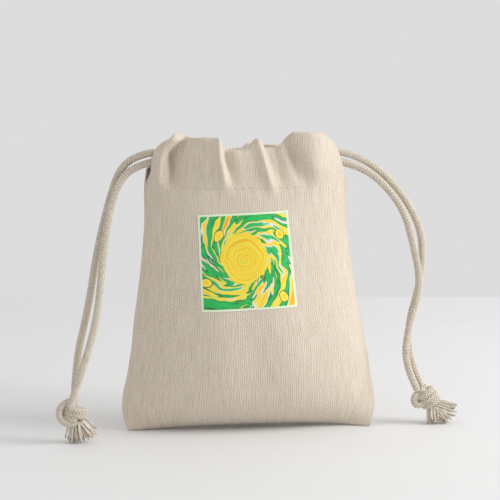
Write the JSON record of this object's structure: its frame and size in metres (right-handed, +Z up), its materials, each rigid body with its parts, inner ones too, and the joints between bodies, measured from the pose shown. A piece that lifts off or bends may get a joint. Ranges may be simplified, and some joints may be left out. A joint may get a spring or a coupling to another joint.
{
  "type": "fabric gift sack",
  "caption": "Small natural cotton drawstring pouch, standing filled, with a square printed front, braided cords, knots and tassels.",
  "frame": {"origin": "the middle of the base, on the surface that the sack stands on", "axes": "+X to the sack's right as seen from the front, +Y from front to back, +Z up"},
  "size_m": [0.162, 0.0556, 0.119],
  "materials": {
    "cotton_cloth": "matte",
    "cotton_cord": "matte",
    "sewing_thread": "matte",
    "printed_transfer": "satin"
  },
  "bodies": {
    "sack": {"front_panel": "cotton_cloth", "back_panel": "cotton_cloth", "left_side_seam": "cotton_cloth", "right_side_seam": "cotton_cloth", "bottom_seam": "cotton_cloth", "left_front_hem_end": "cotton_cloth", "left_back_hem_end": "cotton_cloth", "right_front_hem_end": "cotton_cloth", "right_back_hem_end": "cotton_cloth", "front_print": "printed_transfer"},
    "front_rim": {"front_channel": "cotton_cloth", "front_hem_stitches": "sewing_thread", "front_channel_cords": "cotton_cord"},
    "back_rim": {"back_channel": "cotton_cloth", "back_hem_stitches": "sewing_thread", "back_channel_cords": "cotton_cord"},
    "left_drawstring": {"left_outer_strand": "cotton_cord", "left_inner_strand": "cotton_cord", "left_knot": "cotton_cord", "left_tassel": "cotton_cord"},
    "right_drawstring": {"right_outer_strand": "cotton_cord", "right_inner_strand": "cotton_cord", "right_knot": "cotton_cord", "right_tassel": "cotton_cord"}
  },
  "joints": [
    {"name": "left_pull", "type": "slide", "parent": "sack", "child": "left_drawstring", "axis": [-1, 0, 0], "range_m": [-0.004, 0.009]},
    {"name": "right_pull", "type": "slide", "parent": "sack", "child": "right_drawstring", "axis": [1, 0, 0], "range_m": [-0.004, 0.009]},
    {"name": "front_rim_close", "type": "slide", "parent": "sack", "child": "front_rim", "axis": [0, 1, 0], "range_m": [-0.004, 0.009]},
    {"name": "back_rim_close", "type": "slide", "parent": "sack", "child": "back_rim", "axis": [0, -1, 0], "range_m": [-0.004, 0.009]}
  ],
  "couplings": [
    {"joint": "right_pull", "follows": "left_pull", "ratio": 1},
    {"joint": "front_rim_close", "follows": "left_pull", "ratio": 1},
    {"joint": "back_rim_close", "follows": "left_pull", "ratio": 1}
  ]
}
